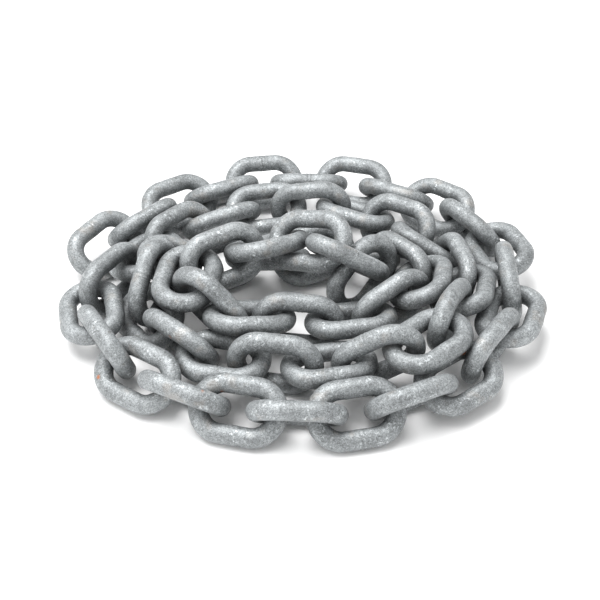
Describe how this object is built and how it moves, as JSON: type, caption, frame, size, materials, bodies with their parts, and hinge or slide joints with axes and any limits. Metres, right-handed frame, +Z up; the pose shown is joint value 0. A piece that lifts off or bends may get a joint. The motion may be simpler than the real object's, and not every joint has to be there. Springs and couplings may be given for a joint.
{
  "type": "short-link anchor chain",
  "caption": "Loose coil of hot-dip galvanised short-link anchor chain, laid in two layers, with two free end links for a shackle.",
  "frame": {"origin": "middle of the coil's bounding box on the ground plane", "axes": "+Z up; -Y towards the viewer, +X to the viewer's right"},
  "size_m": [0.215, 0.189, 0.0443],
  "materials": {
    "zinc": "matt hot-dip galvanised, fine speckle and small bright spots"
  },
  "bodies": {
    "coil": {"link_09": "zinc", "link_10": "zinc", "link_11": "zinc", "link_12": "zinc", "link_13": "zinc", "link_14": "zinc", "link_15": "zinc", "link_16": "zinc", "link_17": "zinc", "link_18": "zinc", "link_19": "zinc", "link_20": "zinc", "link_21": "zinc", "link_22": "zinc", "link_23": "zinc", "link_24": "zinc", "link_25": "zinc", "link_26": "zinc", "link_27": "zinc", "link_28": "zinc", "link_29": "zinc", "link_30": "zinc", "link_31": "zinc", "link_32": "zinc", "link_33": "zinc", "link_34": "zinc", "link_35": "zinc", "link_36": "zinc", "link_37": "zinc", "link_38": "zinc", "link_39": "zinc", "link_40": "zinc", "link_41": "zinc", "link_42": "zinc", "link_43": "zinc", "links_44_45": "zinc", "link_46": "zinc", "link_47": "zinc", "link_48": "zinc", "link_49": "zinc", "link_50": "zinc", "link_51": "zinc", "link_52": "zinc", "link_53": "zinc", "link_54": "zinc", "link_55": "zinc", "link_56": "zinc", "link_57": "zinc", "link_58": "zinc", "link_59": "zinc", "link_60": "zinc", "link_61": "zinc"},
    "end_run_link_8": {"link_08": "zinc"},
    "end_run_link_7": {"link_07": "zinc"},
    "end_run_link_6": {"link_06": "zinc"},
    "end_run_link_5": {"link_05": "zinc"},
    "end_run_link_4": {"link_04": "zinc"},
    "end_run_link_3": {"link_03": "zinc"},
    "end_run_link_2": {"link_02": "zinc"},
    "end_run_link_1": {"link_01": "zinc"}
  },
  "joints": [
    {"name": "swing_8", "type": "hinge", "parent": "coil", "child": "end_run_link_8", "pos_m": [0.06387, 0.06567, 0.00816], "axis": [-0.0688, 0.7782, -0.6242], "range_deg": [0, 52]},
    {"name": "swing_7", "type": "hinge", "parent": "end_run_link_8", "child": "end_run_link_7", "pos_m": [0.03648, 0.07921, 0.00889], "axis": [0.6007, 0.4606, -0.6535], "range_deg": [0, 20]},
    {"name": "swing_6", "type": "hinge", "parent": "end_run_link_7", "child": "end_run_link_6", "pos_m": [0.02053, 0.07901, 0.0126], "axis": [0.3917, 0.7204, -0.5724], "range_deg": [0, 24]},
    {"name": "swing_5", "type": "hinge", "parent": "end_run_link_6", "child": "end_run_link_5", "pos_m": [-0.01003, 0.07996, 0.01264], "axis": [-0.3496, 0.7428, -0.571], "range_deg": [0, 24]},
    {"name": "swing_4", "type": "hinge", "parent": "end_run_link_5", "child": "end_run_link_4", "pos_m": [-0.02651, 0.08184, 0.00854], "axis": [-0.6327, 0.4283, -0.6452], "range_deg": [0, 48]},
    {"name": "swing_3", "type": "hinge", "parent": "end_run_link_4", "child": "end_run_link_3", "pos_m": [-0.05175, 0.06359, 0.01339], "axis": [-0.5933, 0.4632, -0.6583], "range_deg": [0, 22]},
    {"name": "swing_2", "type": "hinge", "parent": "end_run_link_3", "child": "end_run_link_2", "pos_m": [-0.06648, 0.05776, 0.00938], "axis": [-0.6668, 0.1701, -0.7255], "range_deg": [0, 45]},
    {"name": "swing_1", "type": "hinge", "parent": "end_run_link_2", "child": "end_run_link_1", "pos_m": [-0.08388, 0.03961, 0.00855], "axis": [-0.1711, 0.9825, -0.074], "range_deg": [0, 24]}
  ]
}
